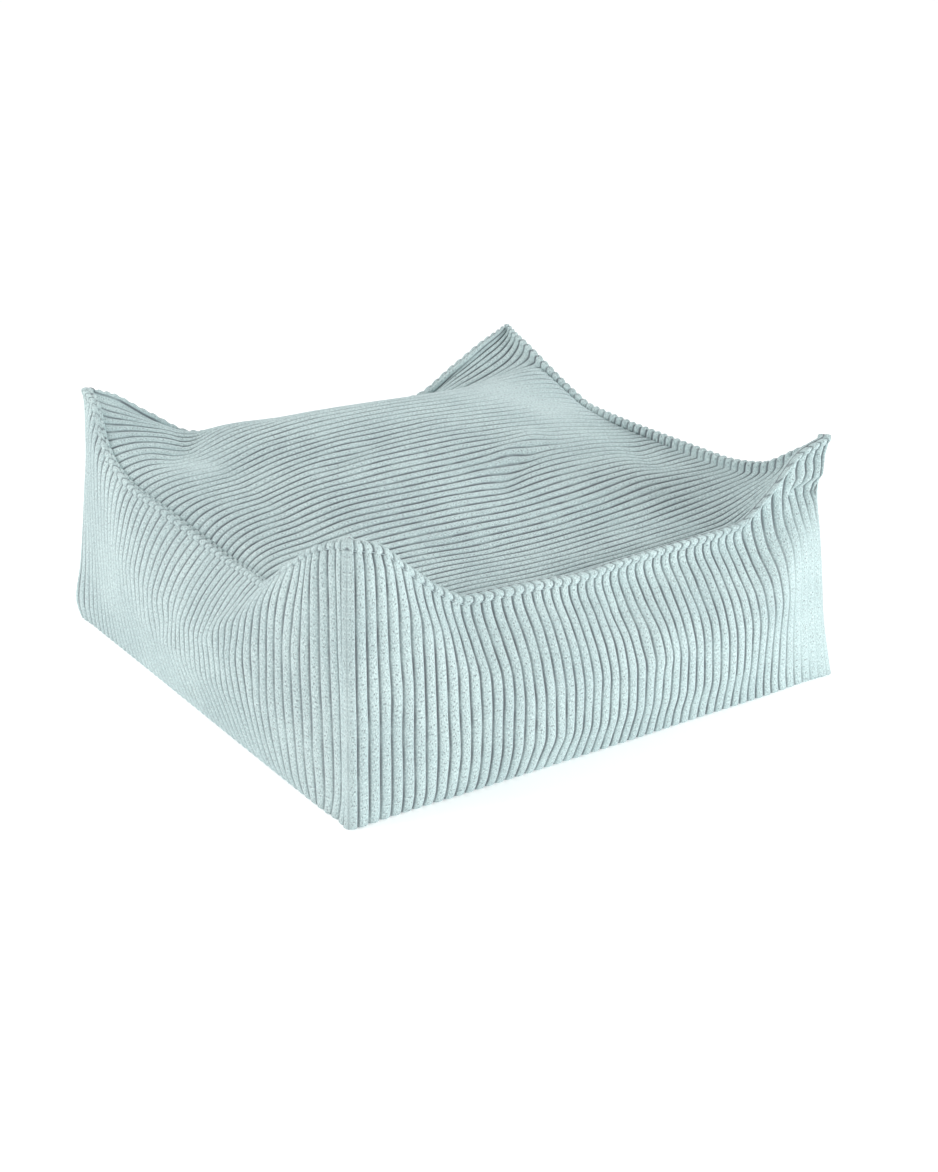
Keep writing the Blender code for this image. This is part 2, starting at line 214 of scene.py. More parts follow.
# Rows over the crest of the side panel, and then down to the top panel's dip. Columns: way in
# from the rim's outer line and way down from its crest in millimetres, share of the cords'
# relief, that relief's shares outwards and upwards.
CREST = (
    (1.7, -0.9, 1.10, 0.3, 1.0),
    (3.4, -0.1, 0.60, 0.0, 1.0),
)
TOP_ROLL = (
    (4.3, 0.0, 0.60, 0.0, 1.0),
    (6.0, -1.2, 1.10, -0.2, 1.0),
    (8.0, 0.5, 1.10, -0.7, 0.7),
    (8.9, 3.6, 0.90, -1.0, 0.3),
    (9.0, 9.0, 0.50, -0.6, 0.6),
)

# Cells across the top panel, the share of its relief at the rim, and the way over which it grows
TOP_CELLS = 106
EDGE_SHARE = 0.5
EDGE_EASE = 0.014

# How far the top's rows keep to the spacing of the left rim, and the points that measure its length
RIM_SPACING_REACH = 0.13
RIM_MEASURE_POINTS = 1201

# The base's rounded edge and the coarse ring inside it
FOOT_INSET = 0.004
FOOT_RISE = 0.0012
BASE_STEPS_A_CELL = 6
BASE_RING_SCALE = 0.85

# Slow waviness of the cords. Columns: cords a wave, metres a wave, size in metres, start in turns.
SIDE_WAVES = (
    (9.0, 0.110, 0.0007, 0.15),
    (23.0, 0.170, 0.0008, 0.62),
    (5.0, 0.061, 0.0003, 0.40),
)
TOP_WAVES = (
    (7.0, 0.130, 0.0009, 0.35),
    (17.0, 0.230, 0.0013, 0.80),
    (4.0, 0.067, 0.0004, 0.10),
)

# Where the cords look washed out in the light: their relief is lowered there and their painted groove
# shade fades. Columns: X, Y, Z and reach in metres, share lost there.
WASHED_OUT = (
    (-0.32, -0.22, 0.050, 0.080, 0.30),
    (-0.32, 0.10, 0.040, 0.120, 0.40),
    (-0.30, 0.27, 0.120, 0.080, 0.35),
    (0.285, -0.29, 0.150, 0.046, 0.95),
    (0.285, -0.30, 0.095, 0.052, 0.92),
    (0.290, -0.30, 0.035, 0.054, 0.88),
    (0.190, 0.160, 0.228, 0.055, 0.80),
    (0.225, 0.090, 0.215, 0.050, 0.75),
    (0.180, 0.010, 0.210, 0.050, 0.40),
    (0.110, 0.190, 0.232, 0.060, 0.60),
    (0.000, 0.230, 0.232, 0.080, 0.45),
    (-0.215, 0.150, 0.200, 0.035, 0.75),
)

# Share of the cords that is kept even there
LEAST_KEPT = 0.12

# The grooves' painted shade is wider on the top, by what stands over one, and fainter on the turned hem
TOP_GROOVE_WIDTH = 1.08
HEM_GROOVE_SHARE = 0.8

# Share of the painted groove shade lost on the upright seams, and how far that reaches in cords
SEAM_FADE = 0.6
SEAM_FADE_REACH = 0.3

# Way from a cord's middle to its edge over which its painted groove shade darkens, and how far that
# wanders
GROOVE_FROM = 0.64
GROOVE_TO = 0.96
GROOVE_WANDER = 0.10

# Fineness of the cloth's and the thread's patterns in spots a metre
PILE_SCALE = 850.0
SPECK_SCALE = 800.0
TUFT_SCALE = 380.0
WANDER_SCALE = 60.0
# Fineness of the random change in the strength of the painted groove shade
GROOVE_SHADE_VARIATION_SCALE = 38.0
PATCH_SCALE = 14.0
TWIST_SCALE = 1500.0

# A stitch's rings: their places and radii as shares of its half length and its radius, the points
# on a ring, and how far out its two tips lie
STITCH_RINGS = (-1.0, -0.75, 0.75, 1.0)
STITCH_GIRTHS = (0.35, 1.0, 1.0, 0.35)
STITCH_SIDES = 6
STITCH_TIP = 1.1

# Soft lights: place and size in metres, colour, and the point that both face
KEY_LIGHT = ((1.4, -2.2, 0.5), 1.1, (0.95, 1.0, 1.0))
FILL_LIGHT = ((-2.0, 0.7, 1.7), 1.3, (1.0, 0.99, 0.98))
LIGHT_TARGET = (0.0, 0.0, 0.12)

# Turn and height of the camera in degrees, its distance and target in metres, its lens in
# millimetres, set from the picture's own lines
CAMERA_TURN = -34.16
CAMERA_HEIGHT = 21.66
CAMERA_DISTANCE = 1.917
CAMERA_TARGET = (0.0075, -0.038, 0.08)
CAMERA_LENS = 54.8


def follow(places, values, at):
    """Smooth curve through points, read at `at`: in each step between two places, a cubic whose end
    slopes are the harmonic mean of the rises on both sides, or zero at a turning point, so that it
    never overshoots. `values` has a row for each place and a column for each curve, and `at` has a
    row for each reading and the same columns."""
    places = np.asarray(places, float)
    values = np.asarray(values, float)
    steps = np.diff(places)
    rises = np.diff(values, axis=0) / steps[:, None]
    before, after = rises[:-1], rises[1:]
    same_way = before * after > 0
    total = np.where(same_way, before + after, 1.0)
    slopes = np.zeros_like(values)
    slopes[1:-1] = np.where(same_way, 2 * before * after / total, 0.0)
    slopes[0], slopes[-1] = rises[0], rises[-1]
    at = np.clip(at, places[0], places[-1])
    cell = np.clip(np.searchsorted(places, at, side="right") - 1, 0, len(places) - 2)
    curve = np.broadcast_to(np.arange(values.shape[1]), at.shape)
    step = steps[cell]
    f = (at - places[cell]) / step
    low = (1 + 2 * f) * (1 - f) ** 2 * values[cell, curve]
    low += f * (1 - f) ** 2 * step * slopes[cell, curve]
    high = f * f * (3 - 2 * f) * values[cell + 1, curve]
    high += f * f * (f - 1) * step * slopes[cell + 1, curve]
    return low + high


def side_table(start, rows, end):
    """Sections of one side from corner to corner."""
    first = (0.0,) + CORNERS[start]
    last = (SIDE,) + CORNERS[end]
    return np.array((first,) + rows + (last,), float)


SIDES = {
    "front": side_table("front_left", FRONT, "front_right"),
    "right": side_table("front_right", RIGHT, "back_right"),
    "back": side_table("back_left", BACK, "back_right"),
    "left": side_table("front_left", LEFT, "back_left"),
}
# Direction along each side, and the way that its cloth faces
ALONG = {"front": (1, 0), "right": (0, 1), "back": (1, 0), "left": (0, 1)}
OUTWARD = {"front": (0, -1), "right": (1, 0), "back": (0, 1), "left": (-1, 0)}
# Sides in the order of the ring around the pouf, and whether their own direction runs against it
RING = (("front", False), ("right", False), ("back", True), ("left", True))


def cord_steps(count):
    """Places of the points across a number of cords, in cords: each one's start plus its phases,
    and the end of the last."""
    steps = np.arange(count)[:, None] + np.array(CORD_PHASES)[None, :]
    return np.append(steps.ravel(), count)


def cord_profile(steps, height, groove_share):
    """Cross-section of the corduroy: over one cord the height is h times (1 - (2p - 1) squared) to
    the power 0.6, with p the share of the way from groove to groove, set so that a share of it lies
    below the cloth. It fades over the first and last cord."""
    phase = np.mod(steps, 1.0)
    dome = (1 - np.abs(2 * phase - 1) ** 2) ** CORD_ROUNDNESS
    ease = np.clip(np.minimum(steps, steps[-1] - steps), 0, 1)
    return height * (dome - groove_share) * ease


def waves(table, place, length):
    """Waviness along the cords: a sum of products of two sines, one across and one along them."""
    shift = np.zeros(np.broadcast(place, length).shape)
    for cords, metres, size, start in table:
        across = np.sin(2 * np.pi * (place / (cords * CORD_PITCH) + start))
        lengthways = np.sin(2 * np.pi * (length / metres + start * 3.1 + place * 1.7))
        shift = shift + size * across * lengthways
    return shift


def crease_depth(panel, first, second):
    """Sum of the panel's creases: each is its depth times exp(-(across / half width) squared -
    (along / half length) to the fourth)."""
    depth = np.zeros(np.broadcast(first, second).shape)
    for name, at_first, at_second, half_length, half_width, deep, turn in CREASES:
        if name != panel:
            continue
        angle = np.radians(turn)
        du = first - at_first
        dv = second - at_second
        lengthways = (du * np.cos(angle) + dv * np.sin(angle)) / half_length
        across = (dv * np.cos(angle) - du * np.sin(angle)) / half_width
        depth = depth + deep * np.exp(-across ** 2 - lengthways ** 4)
    return depth


def corner_fades(along):
    """Share of the first and of the last corner's draw-in that a column takes: the square of what
    is left of the corner's reach."""
    first = np.clip(1 - along / CORNER_REACH, 0, 1) ** 2
    last = np.clip(1 - (SIDE - along) / CORNER_REACH, 0, 1) ** 2
    return first, last


def corner_bend(along):
    """Shift along the side and inset that round the upright corners: within a radius r of a corner
    the cloth turns evenly by up to 45 degrees, so a point lies r (1 - sin turn) from the corner
    along the side and r (1 - cos turn) inside it."""
    aside, inset = 0.0, 0.0
    for way, to_corner in ((1, along), (-1, SIDE - along)):
        turn = np.clip(1 - to_corner / CORNER_ROUND, 0, 1) * np.pi / 4
        rounded = CORNER_ROUND * (1 - np.sin(turn))
        aside = aside + way * np.where(turn > 0, rounded - to_corner, 0.0)
        inset = inset + CORNER_ROUND * (1 - np.cos(turn))
    return aside, inset


def side_cloth(name, along, shares):
    """Smooth points of a side panel. `shares` has a row for each height, as shares of the rim's, and
    a column for each place. A point lies at its place along the side, out by the side's table plus
    its creases, and up by share times rim height; near a corner it is drawn in by the corner's
    own offset."""
    table = SIDES[name]
    count = table.shape[1] - 1
    columns = follow(table[:, 0], table[:, 1:], np.repeat(along[:, None], count, axis=1))
    height = columns[:, 0]
    out = follow(LEVELS, columns[:, 1:].T * MM, shares)
    ends = [follow(LEVELS, np.repeat(table[k, 2:, None], len(along), axis=1) * MM, shares)
            for k in (0, -1)]
    z = shares * height[None, :]
    clear_of_edges = np.sin(np.pi * np.clip(shares, 0, 1))
    out = out + crease_depth(name, along[None, :], z) * clear_of_edges
    first, last = corner_fades(along)
    aside, inset = corner_bend(along)
    out = out - inset
    run = along[None, :] + aside - HALF - ends[0] * first + ends[1] * last
    run = run + waves(SIDE_WAVES, along[None, :], z) * clear_of_edges * (1 - first) * (1 - last)
    run_x, run_y = ALONG[name]
    out_x, out_y = OUTWARD[name]
    x = run * run_x + (HALF + out) * out_x
    y = run * run_y + (HALF + out) * out_y
    return np.stack([x, y, z], axis=-1)


def rim_height(name, along):
    """Height of a side's rim at each place."""
    table = SIDES[name]
    return follow(table[:, 0], table[:, 1:2], along[:, None])[:, 0]


def push_out(points, name, along, out):
    """Points of a side moved outwards, at its ends along the corner's diagonal."""
    first, last = corner_fades(along)
    moved = points.copy()
    for axis in (0, 1):
        moved[..., axis] += out * (OUTWARD[name][axis] + ALONG[name][axis] * (last - first))
    return moved


def welt_share(name, along):
    """Width of the roll at each place: the side's own share, and the full one at the corners."""
    first, last = corner_fades(along)
    return 1 - (1 - WELT[name]) * (1 - first) * (1 - last)


def rim_line(name, along, inward, drop):
    """The rim's line moved inwards and down. At the ears it goes down less: the drop is scaled by
    1 - flat * exp(-(way to the corner / reach) squared) for each of the two corners."""
    line = side_cloth(name, along, np.ones((1, len(along))))[0]
    line = push_out(line, name, along, -inward * welt_share(name, along))
    flat = np.exp(-(along / EAR_REACH) ** 2) + np.exp(-((SIDE - along) / EAR_REACH) ** 2)
    line[:, 2] -= drop * (1 - EAR_FLAT * flat)
    return line


def share_below_rim(name, along, down):
    """Share of the rim's height at a way down the wall's own slope from its rim: the way is turned
    into height by the length of the wall's last stretch per metre of height."""
    height = rim_height(name, along)
    neck, rim = side_cloth(name, along, np.array([[LEVELS[-2]] * len(along), [1.0] * len(along)]))
    stretch = np.linalg.norm(rim - neck, axis=1) / ((1 - LEVELS[-2]) * height)
    return 1 - down / (height * stretch)


def hem_line(name, along, row):
    """One row of the turned hem: the wall's own points a little below the rim, moved out, and
    shifted along the rim by a share of a cord that fades at the corners."""
    down, out, _, shift, _ = row
    first, last = corner_fades(along)
    places = along + shift * CORD_PITCH * (1 - first) * (1 - last)
    share = share_below_rim(name, along, down * MM * welt_share(name, along))
    line = side_cloth(name, places, share[None, :])[0]
    return push_out(line, name, along, out * MM)


def side_rows(name, height, groove_share):
    """All rows of one side panel with its corduroy, from the floor to the crest of its rim. The
    wall's rows share out the way up to the stitching evenly. The relief is added outwards on the
    wall and round the turn on the hem and the crest."""
    steps = cord_steps(CORDS_A_SIDE)
    along = steps * CORD_PITCH
    relief = cord_profile(steps, height, groove_share)
    top = share_below_rim(name, along, (HEM[0][0] + STITCH_GAP) * MM * welt_share(name, along))
    shares = np.linspace(0, 1, WALL_ROWS)[:, None] * top[None, :]
    wall = side_cloth(name, along, shares)
    wall[0, :, 2] = FOOT_RISE
    outward = np.array(OUTWARD[name] + (0,), float)
    wall = wall + (relief * washed_out_share(wall))[..., None] * outward
    foot = push_out(wall[:1], name, along, -FOOT_INSET)
    foot[0, :, 2] = 0.0
    hem = []
    for row in HEM:
        turn = outward + np.array((0, 0, row[4]))
        hem.append(hem_line(name, along, row) + (relief * row[2])[:, None] * turn)
    crest = []
    for inward, drop, share, outwards, upwards in CREST:
        turn = outward * outwards + np.array((0, 0, upwards))
        crest.append(rim_line(name, along, inward * MM, drop * MM) + (relief * share)[:, None] * turn)
    return np.concatenate([foot, wall, np.array(hem), np.array(crest)])


def crown_height(x, y):
    """Height of the filled top at each point: the CROWN table read smoothly along X on every one
    of its lines, and then along Y."""
    table = np.array(CROWN, float)
    lines = len(table)
    across = follow(CROWN_X, table[:, 1:].T, np.repeat(x.ravel()[:, None], lines, axis=1))
    return follow(table[:, 0], across.T, y.ravel()[None, :])[0].reshape(x.shape) * MM


def patch(front, back, left, right, a, b):
    """Surface held by four edges: the sum of the two ruled surfaces less the corners' own."""
    corners = (1 - a) * (1 - b) * front[0] + a * (1 - b) * front[-1]
    corners = corners + (1 - a) * b * back[0] + a * b * back[-1]
    ruled_b = (1 - b) * front[None] + b * back[None]
    ruled_a = (1 - a) * left[:, None] + a * right[:, None]
    return ruled_a + ruled_b - corners


def rim_pull(name, share, extra_reach=0.0):
    """How much of a rim's height the top takes at a share of the top's width from it:
    exp(-(distance / reach) to the power 1.1). The reach can be widened by so many metres."""
    return np.exp(-(share * SIDE / (RIM_REACH[name] + extra_reach)) ** RIM_REACH_POWER)


def top_edges(columns):
    """Places of the top panel's edge points along each rim. At the front and back they follow its
    columns, on the right they are the wall's own cords, and on the left its cords are evenly spaced
    by the rim's length."""
    fine = np.linspace(0, SIDE, RIM_MEASURE_POINTS)
    line = rim_line("left", fine, RIM_THICK, 0.0)
    length = np.append(0, np.cumsum(np.linalg.norm(np.diff(line, axis=0), axis=1)))
    by_length = np.interp(cord_steps(TOP_CORDS) / TOP_CORDS * length[-1], length, fine)
    return {"front": columns * SIDE, "back": columns * SIDE,
            "left": by_length, "right": cord_steps(TOP_CORDS) * CORD_PITCH}


def top_cloth(columns, edges):
    """Smooth points of the top panel: a row for each cord step from front to back, a column for
    each share along X. Its plan is held by the four rims, and its height is the crown's plus each
    rim's lift times how near that rim is, plus the creases. Near the left rim the rows keep to that
    rim's places, and elsewhere they are evenly spaced."""
    edge = {name: rim_line(name, places, RIM_THICK, RIM_DROP) for name, places in edges.items()}
    even = (cord_steps(TOP_CORDS) / TOP_CORDS)[:, None]
    at_left = np.exp(-(columns * SIDE / RIM_SPACING_REACH) ** 2)[None, :]
    rows = even + (edges["left"][:, None] / SIDE - even) * at_left
    a = columns[None, :, None]
    plan = patch(edge["front"], edge["back"], edge["left"], edge["right"], a, rows[..., None])
    x, y = plan[..., 0], plan[..., 1]
    lift = {name: line[:, 2] - crown_height(line[:, 0], line[:, 1]) for name, line in edge.items()}
    at_ear = np.exp(-((1 - rows) * SIDE / EAR_EXTRA_WAY) ** 2)
    near_left = rim_pull("left", columns)
    near_right = rim_pull("right", 1 - columns, EAR_EXTRA_REACH * at_ear)
    z = crown_height(x, y)
    for name, way in (("front", rows), ("back", 1 - rows)):
        near, own = rim_pull(name, way), lift[name]
        z = z + near * (own - near_left * own[0])
        z = z - near * near_right * own[-1]
    z = z + near_left * lift["left"][:, None] + near_right * lift["right"][:, None]
    clear_of_rims = np.sin(np.pi * columns)[None, :] * np.sin(np.pi * rows)
    clear = np.clip(clear_of_rims * CREASE_FADE, 0, 1)
    z = z + crease_depth("top", x, y) * clear
    y = y + waves(TOP_WAVES, y + HALF, x) * clear
    return np.stack([x, y, z], axis=-1)


def top_loops(edges, height, groove_share):
    """Closed rows of points from the crest down the rim's inner face to the top panel's dip. Left
    and right, the top's cords run up to the crest. Front and back, the roll is the panel's last
    cord and is plain."""
    relief = cord_profile(cord_steps(TOP_CORDS), height, groove_share)
    loops = []
    for inward, drop, share, outwards, upwards in TOP_ROLL:
        loop = []
        for name, back in RING:
            line = rim_line(name, edges[name], inward * MM, drop * MM)
            if name in ("left", "right"):
                turn = np.array(OUTWARD[name] + (0,)) * outwards + np.array((0, 0, upwards))
                line += (relief * share)[:, None] * turn
            line = line[::-1] if back else line
            loop.append(line[:-1])
        loops.append(np.concatenate(loop))
    return np.array(loops)


def facing(cloth):
    """Unit vectors square to a grid of points: the cross product of its two directions."""
    square = np.cross(np.gradient(cloth, axis=1), np.gradient(cloth, axis=0))
    return square / np.linalg.norm(square, axis=-1)[..., None]


def strip_faces(ids):
    """Four-sided faces between all neighbouring rows and columns of a grid of point numbers."""
    corners = (ids[:-1, :-1], ids[:-1, 1:], ids[1:, 1:], ids[1:, :-1])
    return np.stack([corner.ravel() for corner in corners], axis=-1)


def zip_faces(outer, inner, outer_places, inner_places):
    """Triangles between two chains of points that run the same way: the next point of either chain,
    in the order of their places, closes one triangle with the point reached on the other."""
    keys = np.concatenate([outer_places[1:], inner_places[1:]])
    from_outer = np.repeat([True, False], [len(outer) - 1, len(inner) - 1])
    order = np.argsort(keys, kind="stable")
    from_outer = from_outer[order]
    i = np.cumsum(from_outer) - from_outer
    j = np.cumsum(~from_outer) - ~from_outer
    i_next = np.minimum(i + 1, len(outer) - 1)
    j_next = np.minimum(j + 1, len(inner) - 1)
    middle = np.where(from_outer, outer[i_next], inner[j_next])
    return np.stack([outer[i], middle, inner[j]], axis=-1)


def closed_ids(start, rows, around):
    """Point numbers of closed rows, with the first column repeated at the end."""
    ids = start + np.arange(rows * around).reshape(rows, around)
    return np.concatenate([ids, ids[:, :1]], axis=1)


def side_parts(counts):
    """First and last column of each side in a closed row, from the number of steps on each."""
    ends = np.cumsum(counts)
    return list(zip(ends - counts, ends + 1))


class Faces:
    """Faces of the cover gathered block by block, each with its own texture places."""

    def __init__(self):
        self.blocks = []
        self.texture = []

    def add(self, block, places):
        """Keep a block of faces, with the texture place of each of its corners."""
        self.blocks.append(block)
        self.texture.append(places[block].reshape(-1, 2))


def add_base(faces, points, foot):
    """Close the cover below its foot: a coarse ring inside it and a fan of triangles from the
    middle. Gives all points back with the base's own after them."""
    ring = points[foot[:-1:BASE_STEPS_A_CELL]] * BASE_RING_SCALE
    ids = len(points) + np.arange(len(ring))
    chain = np.append(ids, ids[0])
    points = np.concatenate([points, ring, np.zeros((1, 3))])
    skirt = zip_faces(foot, chain, np.linspace(0, 1, len(foot)), np.linspace(0, 1, len(chain)))
    fan = np.stack([chain[1:], chain[:-1], np.full(len(ids), len(points) - 1)], axis=-1)
    faces.add(skirt[:, ::-1], points[:, :2])
    faces.add(fan, points[:, :2])
    return points


def groove_shade_values(points, ring_ids, top_ids):
    """How much of the painted groove shade stays at each point: what isn't washed out in the light,
    wider on the top and less on the hem and beside the upright seams."""
    kept = washed_out_share(points)
    kept[top_ids] *= TOP_GROOVE_WIDTH
    kept[ring_ids[STITCH_ROW + 1:, :-1].ravel()] *= HEM_GROOVE_SHARE
    steps = cord_steps(CORDS_A_SIDE)[:-1]
    seam_way = np.minimum(steps, CORDS_A_SIDE - steps)
    softer = 1 - SEAM_FADE * np.exp(-(seam_way / SEAM_FADE_REACH) ** 2)
    kept[:ring_ids[:, :-1].size] *= np.tile(softer, len(RING) * len(ring_ids))
    return kept


def cover_mesh(height, groove_share):
    """Points, faces, texture places and the two point values of the whole closed cover. Texture
    places are metres of cloth across and along the cords, and cords start at whole pitches."""
    wall_steps = cord_steps(CORDS_A_SIDE)
    panels = {name: side_rows(name, height, groove_share) for name, _ in RING}
    ring = [panels[name][:, ::-1][:, :-1] if back else panels[name][:, :-1] for name, back in RING]
    ring = np.concatenate(ring, axis=1)
    columns = np.linspace(0, 1, TOP_CELLS + 1)
    edges = top_edges(columns)
    loops = top_loops(edges, height, groove_share)
    cloth = top_cloth(columns, edges)
    top_steps = cord_steps(TOP_CORDS)
    edge_way = np.minimum(columns, 1 - columns) * SIDE
    ease = EDGE_SHARE + (1 - EDGE_SHARE) * np.clip(edge_way / EDGE_EASE, 0, 1)
    relief = cord_profile(top_steps, height, groove_share)[:, None] * ease[None, :]
    cloth += (relief * washed_out_share(cloth))[..., None] * facing(cloth)
    inner = cloth[1:-1, 1:-1]

    rows, around = ring.shape[:2]
    loop_rows, loop_around = loops.shape[:2]
    ring_ids = closed_ids(0, rows, around)
    loop_ids = closed_ids(rows * around, loop_rows, loop_around)
    first_inner = rows * around + loop_rows * loop_around
    grid = np.zeros(cloth.shape[:2], int)
    grid[1:-1, 1:-1] = first_inner + np.arange(inner[..., 0].size).reshape(inner.shape[:2])
    points = np.concatenate([ring.reshape(-1, 3), loops.reshape(-1, 3), inner.reshape(-1, 3)])

    lengths = np.linalg.norm(np.diff(ring, axis=0), axis=-1)
    run_up = np.concatenate([np.zeros((1, around)), np.cumsum(lengths, axis=0)])
    above = np.ones(len(points))
    above[:ring_ids[:, :-1].size] = (run_up - run_up[STITCH_ROW]).ravel()
    crest_run = float(run_up[-1].mean())

    top_run = top_steps * CORD_PITCH
    roll_run = np.linspace(CORD_PITCH, 0, loop_rows)
    faces = Faces()
    wall_parts = side_parts([COLUMNS_A_SIDE] * 4)
    loop_parts = side_parts([TOP_CELLS, len(top_steps) - 1] * 2)
    for (name, back), wall_part, loop_part in zip(RING, wall_parts, loop_parts):
        wall_ids = ring_ids[:, slice(*wall_part)]
        side_loop_ids = loop_ids[:, slice(*loop_part)]
        own = wall_steps[::-1] if back else wall_steps
        places = np.zeros((len(points), 2))
        places[wall_ids.ravel(), 0] = np.broadcast_to(own * CORD_PITCH, wall_ids.shape).ravel()
        places[wall_ids.ravel(), 1] = run_up.ravel()[wall_ids.ravel()]
        faces.add(strip_faces(wall_ids), places)
        loop_own = edges[name][::-1] if back else edges[name]
        places[side_loop_ids[0], 0] = loop_own
        places[side_loop_ids[0], 1] = crest_run + HEM[0][1] * MM
        way = -1.0 if back else 1.0
        block = zip_faces(wall_ids[-1], side_loop_ids[0], way * own * CORD_PITCH, way * loop_own)
        faces.add(block, places)
        if name in ("left", "right"):
            run = top_run[::-1] if back else top_run
            places[side_loop_ids.ravel(), 0] = np.broadcast_to(run, side_loop_ids.shape).ravel()
            places[side_loop_ids.ravel(), 1] = np.repeat(roll_run, side_loop_ids.shape[1])
        else:
            places[side_loop_ids.ravel(), 0] = np.repeat(roll_run, side_loop_ids.shape[1])
            places[side_loop_ids.ravel(), 1] = np.broadcast_to(loop_own, side_loop_ids.shape).ravel()
        faces.add(strip_faces(side_loop_ids), places)
        last = side_loop_ids[-1, ::-1] if back else side_loop_ids[-1]
        where = {"front": (0, slice(None)), "back": (-1, slice(None)),
                 "left": (slice(None), 0), "right": (slice(None), -1)}[name]
        grid[where] = last

    places = np.zeros((len(points), 2))
    places[grid.ravel(), 0] = np.repeat(top_run, grid.shape[1])
    places[grid.ravel(), 1] = np.tile(columns * SIDE, grid.shape[0])
    faces.add(strip_faces(grid), places)
    points = add_base(faces, points, ring_ids[0])
    above = np.append(above, np.ones(len(points) - len(above)))
    top_ids = np.concatenate([loop_ids.ravel(), grid[1:-1, 1:-1].ravel()])
    kept = groove_shade_values(points, ring_ids, top_ids)
    return points, faces.blocks, np.concatenate(faces.texture), above, kept


def washed_out_share(points):
    """How much of the cords and of their painted groove shade is left at each point where they look
    washed
    out in the light: one less the sum of the washed-out spots, each its share times exp(-(distance /
    reach) squared)."""
    kept = np.ones(points.shape[:-1])
    for x, y, z, reach, share in WASHED_OUT:
        distance = np.linalg.norm(points - np.array((x, y, z)), axis=-1)
        kept -= share * np.exp(-(distance / reach) ** 2)
    return np.clip(kept, LEAST_KEPT, 1.0)


def add_object(name, data):
    """A new object with this data, linked to the scene."""
    made = bpy.data.objects.new(name, data)
    bpy.context.scene.collection.objects.link(made)
    return made


def new_piece(name, points, faces, material):
    """A mesh object at the origin from arrays of points and faces, drawn smooth."""
    mesh = bpy.data.meshes.new(name)
    rows = [row for block in faces for row in block.tolist()]
    mesh.from_pydata(points, [], rows)
    mesh.polygons.foreach_set("use_smooth", np.ones(len(rows), bool))
    mesh.materials.append(material)
    mesh.update()
    mesh.validate()
    return add_object(name, mesh)


def add_point_value(piece, name, values):
    """Store one number a point under a name that the material reads."""
    attribute = piece.data.attributes.new(name, "FLOAT", "POINT")
    attribute.data.foreach_set("value", values.astype(np.float32))


def add_texture_places(piece, places):
    """Store the texture places of all face corners as the piece's UV map."""
    layer = piece.data.uv_layers.new(name="cord_run")
    layer.data.foreach_set("uv", places.astype(np.float32).ravel())


class Shading:
    """Small helper that adds nodes to one material and links them."""

    def __init__(self, name):
        self.material = bpy.data.materials.new(name)
        self.material.use_nodes = True
        self.tree = self.material.node_tree
        self.shader = self.tree.nodes["Principled BSDF"]

    def node(self, kind, feeds=(), **settings):
        """A new node with its settings, and a value or a link for each socket that is named or
        numbered."""
        made = self.tree.nodes.new(kind)
        for key, value in settings.items():
            setattr(made, key, value)
        for socket, value in feeds:
            self.feed(made.inputs[socket], value)
        return made

    def feed(self, socket, value):
        """Link a socket's value if it is one, or set the number."""
        if isinstance(value, bpy.types.NodeSocket):
            self.tree.links.new(value, socket)
        else:
            socket.default_value = value

    def shade(self, values):
        """Feed the shader's sockets by their names."""
        for name, value in values.items():
            self.feed(self.shader.inputs[name], value)

    def math(self, operation, *values):
        """Arithmetic on numbers and sockets."""
        return self.node("ShaderNodeMath", enumerate(values), operation=operation).outputs[0]

    def ramp(self, value, low, high, low_to=0.0, high_to=1.0):
        """Smooth step of a value between two limits."""
        feeds = enumerate((value, low, high, low_to, high_to))
        return self.node("ShaderNodeMapRange", feeds, interpolation_type="SMOOTHSTEP").outputs[0]

    def mix(self, share, first, second):
        """Blend two colours."""
        feeds = ((0, share), (6, first), (7, second))
        return self.node("ShaderNodeMix", feeds, data_type="RGBA").outputs[2]

    def noise(self, vector, scale, detail=2.0, roughness=0.5):
        """Uneven spots, so many a metre."""
        feeds = (("Vector", vector), ("Scale", scale), ("Detail", detail), ("Roughness", roughness))
        return self.node("ShaderNodeTexNoise", feeds).outputs["Fac"]

    def bump(self, height, strength, depth):
        """Let a height, in shares of a depth in metres, roughen the surface."""
        feeds = (("Height", height), ("Strength", strength), ("Distance", depth))
        self.shade({"Normal": self.node("ShaderNodeBump", feeds).outputs[0]})


